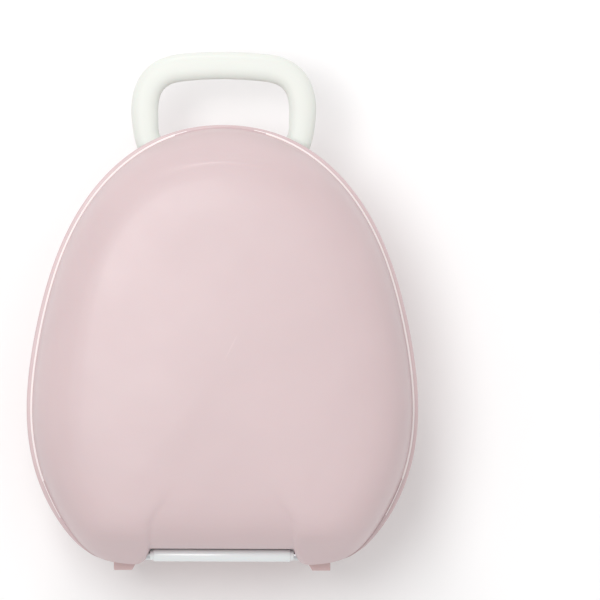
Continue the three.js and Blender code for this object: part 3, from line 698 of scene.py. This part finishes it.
# ---------------------------- seat frame
DECK_LOW = SHELF_TOP - 3             # underside of the seat frame's shelf
SKIRT_LOW = 110
SKIRT_OUT = (1, 213)                 # inset and front of the skirt's outer face
SKIRT_IN = (4, 210)
BARREL_HALF = 53.2
BARREL_R = 4.65
APRON_HALF = 42
APRON_LOW = 84
APRON_Y = 202                        # how far the apron hangs ahead of the egg's centre


def side_box(side, x0, x1, y0, y1, z0, z1, radius):
    """Rings of a block between x0 and x1 on one side of the middle."""
    left, right = sorted((side * x0, side * x1))
    return soft_box(left, right, y0, y1, z0, z1, radius)


def apron_rings():
    """The plate that hangs from the skirt between the ends of the handle."""
    top = SKIRT_LOW + 6
    rings = []
    for share in np.linspace(-1, 1, 61):
        x = share * APRON_HALF
        low = APRON_LOW + 1.6 * max(0, (abs(x) - (APRON_HALF - 2)) / 2) ** 2
        theta = np.array([math.asin(x / APRON_Y)])
        outer, inner = egg(theta, *SKIRT_OUT)[0, 1], egg(theta, *SKIRT_IN)[0, 1]
        rings.append([(x, outer, top), (x, outer, low), (x, inner, low), (x, inner, top)])
    plate = np.array(rings).transpose(1, 0, 2)
    return rounded(plate, [0.5, 1.0, 0.8, 0.5], steps=4, closed=True).transpose(1, 0, 2)


def build_seat_frame():
    angles = crowded(260)
    hole = oval(angles, 76, 105)
    outer, inner = egg(angles, *SKIRT_OUT, 119.6), egg(angles, *SKIRT_IN, 116.8)
    outline = stack([
        (hole, DECK_LOW), (hole, SHELF_TOP), (egg(angles, 22, 192, 100), SHELF_TOP), (outer, SHELF_TOP),
        (outer, SKIRT_LOW), (inner, SKIRT_LOW), (inner, DECK_LOW)])
    body = Body().skin(rounded(outline, [0.6, 1.0, 0, 2.8, 0.8, 0.6, 1.0], steps=5, closed=True))
    # hinge barrel, with a thinner collar at each end and a web down to the shelf
    wide = BARREL_HALF - 2.4
    body.skin(rod_x(-wide, wide, HINGE_Y, HINGE_Z, BARREL_R, 0.5), ends=True)
    body.skin(rod_x(-BARREL_HALF, BARREL_HALF, HINGE_Y, HINGE_Z, BARREL_R - 1.2, 0.4), ends=True)
    body.skin(soft_box(-wide, wide, 111.6, 119.4, DECK_LOW + 1, HINGE_Z, 0.8), ends=True)
    body.skin(apron_rings(), ends=True)
    for side in (-1, 1):
        # cheek that carries the handle's pin, and the rib that stops the handle
        inner_x, outer_x = APRON_HALF - 9, APRON_HALF - 0.4
        cheek = side_box(side, inner_x, outer_x, -193.5, -173.5, APRON_LOW + 2, DECK_LOW + 1, 1.2)
        rib = side_box(side, 54, 57.5, -187.9, -186.5, 108.2, DECK_LOW + 1, 0.5)
        body.skin(cheek, ends=True).skin(rib, ends=True)
    return body.make("seat_frame_moulding", [white_gloss])


# ---------------------------- inner pot
RING_TOP = 132                       # top of the raised ring that the child sits on
RING_LOW = 126                       # where the ring and the guard rise from the rim
GUARD_LEAN = 5                       # how far the guard's top leans outwards
GUARD_SIDE = 0.47                    # angle at which the ring dips before it meets the guard
DIP_WIDTH = 0.12
TAB_Y = -165                         # centre of the thumb tab in front of the guard
TAB_ROWS = (
    # radius, height
    (8.6, SHELF_TOP + GAP), (8.5, 124.2), (8.2, 125.0), (7.4, 125.4), (5.4, 125.3), (3.0, 124.9),
    (1.0, 124.8),
)


def pot_rings(angles):
    """Section of the pot at every angle, from low on its outside over the rim to low on its inside."""
    theta = np.where(angles > math.pi, 2 * math.pi - angles, angles)
    ahead = np.cos(theta) > 0
    x = np.abs(oval(theta, 84, 114)[:, 0]) / GUARD_HALF
    rise = np.where(ahead & (x < 1), 0.5 + 0.5 * np.cos(math.pi * x * x), 0)
    dip = np.where(ahead, np.exp(-(((theta - GUARD_SIDE) / DIP_WIDTH) ** 2)), 0)
    front = step(0, 1, rise * 4)
    ring = 1 - front
    ring_top = RING_TOP - 6 * dip - (RING_TOP - RING_LOW) * front
    top = np.maximum(ring_top, 124 + (GUARD_TOP - 124) * rise)
    lean = (top - 128) / (GUARD_TOP - 128) * GUARD_LEAN * front

    def lift(share):
        return RING_LOW + (top - RING_LOW) * share

    def grown(a, b, growth, z):
        """A row whose half axes grow by amounts that change with the angle."""
        return oval(angles, a + growth, b + growth), z

    shelf = SHELF_TOP + GAP
    return stack([
        # outside of the bowl
        grown(48, 70, 0, 21.5),
        grown(58.5, 82.5, 0, 31),
        grown(65.5, 92.5, 0, 60),
        grown(70.5, 99, 0, 95),
        grown(73.6, 102.6, 0, 117),
        grown(74, 103, 0, 123.5),
        # rim that rests on the shelf
        grown(77, 106, 0, 125),
        grown(95.2, 125.2, 0, 124.6),
        grown(95.4, 125.4, 0, shelf),
        grown(98, 128, 0, shelf),
        grown(98, 128, 0, 124.5 + 1.5 * ring),
        # raised ring, or the splash guard at the front
        grown(93, 122.5, 1.5 * ring, RING_LOW + (ring_top - RING_LOW) * 0.6 * ring),
        grown(83, 112, lean * 0.4 + 9.2 * ring, lift(0.1 + 0.68 * ring)),
        grown(77.5, 106.5, lean * 0.6 + 11 * ring, lift(0.55 + 0.4 * ring)),
        grown(75.4, 104.4, lean + 6 * ring, top - 0.8),
        grown(73.4, 102.4, lean + 2 * ring, top - 0.2 * (1 + 2 * ring)),
        grown(71.6, 100.6, lean, top - 1.4 - 1.4 * ring),
        grown(71.3, 100.3, lean * 0.4, np.minimum(lift(0.4), top - 3)),
        # inside of the bowl
        grown(71, 100, 0, 121),
        grown(70.5, 99.5, 0, 116),
        grown(68, 96.5, 0, 95),
        grown(63, 90, 0, 60),
        grown(56, 80, 0, 33),
        grown(46, 68, 0, 24.5),
    ])


def dished(ring, z, shares):
    """The ring drawn in to shares of its size, towards the point on the pot's axis at the height z."""
    middle = np.array([0, OVAL_Y, z])
    return [middle + (ring - middle) * share * np.array([1, 1, share ** 2]) for share in shares]


def thumb_tab():
    """Rings of the round tab on the rim, from its foot to near the middle of its top."""
    turn = np.linspace(0, 2 * math.pi, 48, endpoint=False)
    circle = np.column_stack([np.sin(turn), -np.cos(turn)])
    return stack([(circle * radius + (0, TAB_Y), z) for radius, z in TAB_ROWS])


def build_pot():
    rings = pot_rings(crowded(320, [0], 3.0, 0.5))
    under = smooth(rings[:6], 4)
    rim = rounded(rings[5:12], [0, 1.5, 1.0, 0.4, 0.4, 1.2, 0], steps=3)[1:-1]
    over = smooth(rings[11:], 5)
    bottom = dished(under[0], POT_BOTTOM, (0.08, 0.3, 0.6, 0.85))
    floor = dished(over[-1], POT_BOTTOM + 2.5, (0.85, 0.65, 0.45, 0.25, 0.08))
    body = Body().skin(np.concatenate([bottom, under, rim, over, floor]), ends=True)
    return body.skin(thumb_tab(), ends=True).make("inner_pot_moulding", [white_gloss])


# ---------------------------- base shell
FOOT_SPANS = ((-152, -99), (56, 100))                   # y from end to end of the front and rear feet
FOOT_X = 55                          # the feet stand outside this x
FOOT_OUTLINE = (16.6, 172, 107.5)    # inset, front and rear of the feet's outer faces
FOOT_TOP = 20                        # the feet run out into the wall at about this height
FOOT_PLAN = (17, 171, 106)           # the outline on which the feet's ends are measured
BELLY_Z = 8                          # underside of the shell between the feet
HEEL_OUT = 80.4                      # x of the heels' outer sides
HEEL_IN = ((62, 118), (66.5, HEEL_Y))                   # x, y along their inner sides, root and face
HEEL_ROWS = (
    # height, y of the heels' faces
    (FOOT_BOTTOM, 111), (FOOT_BOTTOM + 3, 113.5), (62, HEEL_Y), (104, HEEL_Y), (107, 124.5), (110, 112),
)
RECESSES = ((41.5, 78, 22, 10.5, 5), (29, 67, 26, 18, 6))    # half width, top, bottom, depth, draft
WALL_ROWS = np.array([
    # inset, front, rear, height
    (19.4, 169.5, 105, 13), (18.4, 169.7, 105.8, 20), (16.6, 170.0, 107.2, 32), (14.2, 170.5, 109, 48),
    (11.5, 171, 111, 65), (9.6, 171.2, 112.8, 80), (7.2, 171.6, 114.8, 97), (4.3, 172, 116.5, BASE_TOP)])


def arch_depth(x, z, half, top, low, depth, draft):
    """Depth of an arched recess at points of the front wall, with drafted sides."""
    across = np.clip(np.abs(x) / half, 0, 1)
    roof = top - 0.6 * (top - low) * (1 - (1 - across ** 2.4) ** (1 / 2.4))
    inside = np.minimum(np.minimum(half - np.abs(x), (roof - z) * 0.8), z - low)
    return depth * step(0, draft, inside)


def heel_radius(theta, z):
    """Distance of the heels' faces and sides from the axis, 0 where there is no heel."""
    across, back = np.abs(np.sin(theta)), np.maximum(-np.cos(theta), 1e-3)
    heights, places = zip(*HEEL_ROWS)
    reach = np.minimum(np.interp(z, heights, places) / back, HEEL_OUT / np.maximum(across, 1e-3))
    (root_x, root_y), (face_x, face_y) = HEEL_IN
    run = (face_x - root_x) / (face_y - root_y)
    on_heel = (np.cos(theta) < 0) & (reach * across > root_x + run * (reach * back - root_y) - 0.01)
    return np.where(on_heel, reach, 0)


def base_radius(theta, z, inset, front, rear):
    """Distance of the base's wall from the axis, with its heels and finger recess."""
    plan = egg(theta, inset, front, rear)
    radius = np.maximum(np.hypot(plan[:, 0], plan[:, 1]), heel_radius(theta, z))
    x = radius * np.sin(theta)
    sunk = sum(arch_depth(x, z, *recess) for recess in RECESSES)
    return radius - np.where(np.cos(theta) > 0.5, sunk, 0)


def foot_share(plan):
    """1 at points of the outline on the four feet, 0 between them."""
    share = np.zeros(len(plan))
    for y0, y1 in FOOT_SPANS:
        on_foot = step(y0 - 0.6, y0 + 0.6, plan[:, 1]) * (1 - step(y1 - 0.6, y1 + 0.6, plan[:, 1]))
        share = np.maximum(share, on_foot)
    return share * step(FOOT_X - 0.5, FOOT_X + 0.5, np.abs(plan[:, 0]))


def angles_at(places, inset, front, rear, samples):
    """Angles at which the right half of an outline passes the given y values."""
    probe = np.linspace(0, math.pi, samples)
    return [float(angle) for angle in np.interp(places, egg(probe, inset, front, rear)[:, 1], probe)]


def base_angles():
    """Angles round the base, crowded where its feet and heels end and over the finger recess."""
    feet = angles_at(np.ravel(FOOT_SPANS), *FOOT_PLAN, 2000)
    heels = [math.pi - math.atan2(x, y) for x, y in ((HEEL_OUT, HEEL_Y), (66, 121))]
    recess = np.arange(0.03, 0.28, 0.03)
    return np.sort(crowded(500, [*both_sides([*feet, *heels]), 0, *both_sides(recess)], 8, 0.025))


def base_skin(angles):
    """Rings of the base's outside, from near the middle of its underside to below its rim."""
    feet = foot_share(egg(angles, *FOOT_PLAN))
    low = FOOT_BOTTOM

    def ring(radius, z):
        return level(np.column_stack([radius * np.sin(angles), -radius * np.cos(angles)]), z)

    def footed(z, belly_line, foot_z, foot_line):
        """A ring that belongs to the belly between the feet and to the feet where they are. Each line is an
        inset, a front and a rear."""
        belly = base_radius(angles, z, *belly_line)
        foot = np.hypot(*egg(angles, *foot_line).T)
        foot = np.maximum(foot, np.where(belly > foot + 4, belly, 0))
        return ring(belly + (foot - belly) * feet, z + (foot_z - z) * feet)

    # the belly and the soles of the feet, from the middle outwards
    rings = [
        footed(BELLY_Z, (60, 130, 70), BELLY_Z, (60, 130, 70)),
        footed(BELLY_Z, (36, 153, 88), BELLY_Z, (32.5, 156, 91)),
        footed(BELLY_Z, (33, 156, 91), BELLY_Z - 0.6, (31.6, 157, 92)),
        footed(BELLY_Z, (31, 158, 93), low + 0.6, (31, 157.5, 92.4)),
        footed(BELLY_Z, (30, 159, 94), low, (30.2, 158.2, 93.2)),
        footed(BELLY_Z, (27, 162, 96.5), low, (19.2, 169.4, 105)),
        footed(BELLY_Z, (24.6, 164.3, 98.6), low + 0.3, (17.6, 171, 106.4)),
        footed(BELLY_Z + 0.7, (22.2, 166.8, 101.2), low + 1.3, (16.8, 171.8, 107.3)),
        footed(BELLY_Z + 2, (20.6, 168.4, 103.6), low + 3.5, FOOT_OUTLINE),
        footed(BELLY_Z + 3.5, (19.8, 169.1, 104.5), 10, FOOT_OUTLINE),
    ]
    # the wall, with the tops of the feet
    foot_inset, foot_front, foot_rear = FOOT_OUTLINE
    levels = [*np.linspace(13, 84, 80), *np.linspace(86, 102, 9), *np.linspace(103, BASE_TOP - 0.6, 12)]
    for z in levels:
        wall_line = [np.interp(z, WALL_ROWS[:, 3], column) for column in WALL_ROWS.T[:3]]
        radius = base_radius(angles, z, *wall_line)
        moved = foot_inset + 3.2 * step(FOOT_TOP - 2, FOOT_TOP + 1.5, z)
        foot = np.hypot(*egg(angles, moved, foot_front, foot_rear).T)
        on_foot = feet * (1 - step(FOOT_TOP - 1.5, FOOT_TOP + 2, z))
        rings.append(ring(np.maximum(radius, radius + (foot - radius) * on_foot), z))
    return np.array(rings)


def moved_out(rings, distance):
    """Rings moved away from the axis, or towards it where distance is negative."""
    moved = rings.copy()
    plan = moved[..., :2]
    plan *= 1 + distance / np.linalg.norm(plan, axis=-1, keepdims=True)
    return moved


def build_base():
    outer = base_skin(base_angles())
    inner = moved_out(outer[1:], -SHELL_WALL)
    floor = inner[:9]
    floor[:, :, 2] = np.maximum(floor[:, :, 2] + 3.0, BELLY_Z)
    rim = moved_out(outer[-1:], -0.5)
    lip = moved_out(inner[-1:], 0.4)
    rim[:, :, 2] = BASE_TOP
    lip[:, :, 2] = BASE_TOP
    skin = np.concatenate([outer, rim, lip, inner[::-1]])
    return Body().skin(skin, ends=True).make("base_shell_moulding", [pink_base], crease=30)


# ---------------------------- foot pads
PAD_LINE = (24.4, 163.2, 99.2)       # inset, front and rear of the pads' middle line
PAD_HALF = 5.0
PAD_RIBS = 9
PAD_STEPS = 61


def pad_rings(side, y0, y1):
    """Rings across one pad, whose ends are round and whose underside is ribbed."""
    first, last = angles_at((y0, y1), *PAD_LINE, 3000)
    share = np.linspace(0, 1, PAD_STEPS)
    centre = egg(first + (last - first) * share, *PAD_LINE)
    ends = np.minimum(share, 1 - share) * (y1 - y0)
    half = PAD_HALF * np.sqrt(np.clip(1 - np.clip(1 - ends / PAD_HALF, 0, 1) ** 2, 0.02, 1))
    away = centre / np.linalg.norm(centre, axis=1, keepdims=True)
    ribs = 0.45 * (0.5 + 0.5 * np.cos(share * 2 * math.pi * PAD_RIBS))
    top = FOOT_BOTTOM - GAP
    section = []
    for across, z in ((1, top), (1, 0.9), (0.86, ribs), (-0.86, ribs), (-1, 0.9), (-1, top)):
        section.append(level((centre + away * (half * across)[:, None]) * (side, 1), z))
    return rounded(section, [0.3, 0.5, 0.5, 0.5, 0.5, 0.3], 3, closed=True).transpose(1, 0, 2)


def build_pads():
    """The anti-slip pads under the feet, each with the name of the CAD piece that it stands for."""
    pads = []
    for side_name, side in (("left", -1), ("right", 1)):
        for end_name, (y0, y1) in zip(("front", "rear"), FOOT_SPANS):
            name = f"foot_pad_{end_name}_{side_name}"
            body = Body().skin(pad_rings(side, y0 + 3, y1 - 3), ends=True)
            pads.append((body.make(name + "_ribbed", [pad_rubber]), name))
    return pads


# ---------------------------- handle
STUB_HALF = 8                        # half width of the handle's inturned ends
HANDLE_BAR = 20.3                    # width of the bar in plan
HANDLE_POWER = 2.9                   # squareness of its section
HANDLE_STEPS = (5, 14, 12, 22, 14)   # steps along the end, elbow, arm, corner and half of the bar


def handle_line(curves):
    """Curves from the right end to the middle of the bar, with their mirror image."""
    parts = [bezier(points, count) for points, count in zip(curves, HANDLE_STEPS)]
    right = np.vstack([*parts, curves[-1][-1]])
    return np.vstack([right, right[:-1][::-1] * (-1, 1)])


def build_handle():
    rear, near, elbow = PIVOT_Y + STUB_HALF, PIVOT_Y - STUB_HALF, PIVOT_Y - 1
    far, bar = HANDLE_END_Y, HANDLE_END_Y + HANDLE_BAR
    start = APRON_HALF + 0.5
    arm = HANDLE_WIDE - HANDLE_BAR
    outside = handle_line([
        [(start, rear), (49, rear)],
        [(49, rear), (57, rear - 2.0), (64, elbow)],
        [(64, elbow), (67.6, elbow - 9), (HANDLE_WIDE, far + 46)],
        [(HANDLE_WIDE, far + 46), (HANDLE_WIDE + 0.6, far + 20), (57, far + 4.5), (33, far + 1.6)],
        [(33, far + 1.6), (16, far), (0, far)],
    ])
    inside = handle_line([
        [(start, near), (start + 0.8, near)],
        [(start + 0.8, near), (arm - 0.8, near), (arm, near - 8)],
        [(arm, near - 8), (arm + 0.2, far + 44)],
        [(arm + 0.2, far + 44), (arm, far + 28), (43, far + 23), (28, bar + 1.5)],
        [(28, bar + 1.5), (14, bar), (0, bar)],
    ])
    turn = np.linspace(0, 2 * math.pi, 64, endpoint=False)
    u, w = (np.sign(wave) * np.abs(wave) ** (2 / HANDLE_POWER) for wave in (np.cos(turn), np.sin(turn)))
    rings = np.array([
        level((a + b) / 2 + u[:, None] * (a - b) / 2, PIVOT_Z + w * HANDLE_THICK / 2)
        for a, b in zip(outside, inside)
    ])
    # the flat face of each end, with a rounded edge
    edge = ((0, 0.86), (0.35, 0.95), (1.2, 1.0))
    first = np.array([shrunk(rings[0], share) + (x, 0, 0) for x, share in edge])
    last = first[::-1] * (-1, 1, 1)
    skin = np.concatenate([first, rings[2:-2], last])
    return Body().skin(skin, ends=True).make("carry_handle_moulding", [white_satin], crease=60)


# ---------------------------- putting the pieces on their bodies
def settle(piece, body, slot, *nodes):
    """Puts a piece on its body, in place of the CAD nodes that it stands for."""
    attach(piece, body)
    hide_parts(*nodes)


settle(build_lid(), "lid", "pink_shell", "lid_shell")
settle(build_liner(), "lid", "white_shell", "lid_liner")
plug_angles = crowded(200)
settle(build_plug_cover(plug_angles), "lid", "white_shell", "plug_cover")
settle(build_gasket(plug_angles), "lid", "pink_gasket", "seal_gasket")
settle(build_carrier(plug_angles), "lid", "white_shell", "plug_carrier")
settle(build_latch(), "lid", "white_shell", "latch_hook")
settle(build_seat_frame(), "root", "white_shell", "seat_frame")
settle(build_pot(), "root", "white_pot", "inner_pot")
settle(build_base(), "root", "pink_shell", "base_shell")
for pad, pad_node in build_pads():
    settle(pad, "root", "foot_rubber", pad_node)
settle(build_handle(), "handle", "white_handle", "carry_handle")
# the pins, bushes and screws are shown as their CAD pieces
for node_name, node in frame["nodes"].items():
    if not node.hide_render:
        node.data.materials.clear()
        node.data.materials.append(white_satin if "bush" in node_name else steel)

# ---------------------------- floor, light and camera, in metres
FRAME_WIDE = 0.444                   # what the picture takes in at the height of the lid's edge
LID_EDGE_Z = 0.13
CAMERA_PLACE = (-0.0572, -0.0084, 6.0)
CAMERA_TURN = 180.2                  # the picture's right is the chair's left, and its top is the front
SENSOR_WIDE = 36
FLOOR_HALF = 6.0
FLOOR_DARK, FLOOR_GREY, FLOOR_PALE = 0.945, 0.95, 0.955
WORLD_STRENGTH = 0.75


def build_floor():
    """A large pale floor with very faint clouds."""
    mesh = bpy.data.meshes.new("studio_floor")
    corners = [(x * FLOOR_HALF, y * FLOOR_HALF, 0) for x, y in ((-1, -1), (1, -1), (1, 1), (-1, 1))]
    mesh.from_pydata(corners, [], [(0, 1, 2, 3)])
    material, tree, main = shader("studio_floor_paint", (FLOOR_GREY,) * 3, 0.8)
    clouds = spread(tree, noise(tree, 3, 2), 0, 1)
    tint = mixed(tree, clouds, (FLOOR_DARK,) * 3, (FLOOR_PALE,) * 3)
    tree.links.new(tint, main.inputs["Base Color"])
    mesh.materials.append(material)
    floor = bpy.data.objects.new("studio_floor", mesh)
    bpy.context.scene.collection.objects.link(floor)


def area_light(name, place, size, power, aim=(0, 0, 0.1)):
    """A round soft light, aimed at the chair."""
    data = bpy.data.lights.new(name, "AREA")
    data.shape, data.size, data.energy = "DISK", size, power
    lamp = bpy.data.objects.new(name, data)
    lamp.location = place
    lamp.rotation_mode = "QUATERNION"
    lamp.rotation_quaternion = (Vector(aim) - Vector(place)).to_track_quat("-Z", "Y")
    bpy.context.scene.collection.objects.link(lamp)


def build_lights():
    """Even light from all round, with one light overhead and a weaker one from the front."""
    world = bpy.data.worlds.new("studio_air")
    world.use_nodes = True
    background = world.node_tree.nodes["Background"]
    background.inputs["Color"].default_value = (1, 1, 1, 1)
    background.inputs["Strength"].default_value = WORLD_STRENGTH
    bpy.context.scene.world = world
    area_light("key_light", (0.45, -0.35, 2.4), 1.0, 19)
    area_light("side_light", (0.3, -1.8, 1.25), 0.5, 8)


def build_camera():
    """A camera high above the chair, looking straight down onto the lid."""
    data = bpy.data.cameras.new("camera")
    data.sensor_width = SENSOR_WIDE
    data.lens = SENSOR_WIDE * (CAMERA_PLACE[2] - LID_EDGE_Z) / FRAME_WIDE
    data.clip_end = 50
    camera = bpy.data.objects.new("camera", data)
    camera.location = CAMERA_PLACE
    camera.rotation_euler = (0, 0, math.radians(CAMERA_TURN))
    bpy.context.scene.collection.objects.link(camera)
    bpy.context.scene.camera = camera


build_floor()
build_lights()
build_camera()
bpy.context.scene.view_settings.view_transform = "Standard"
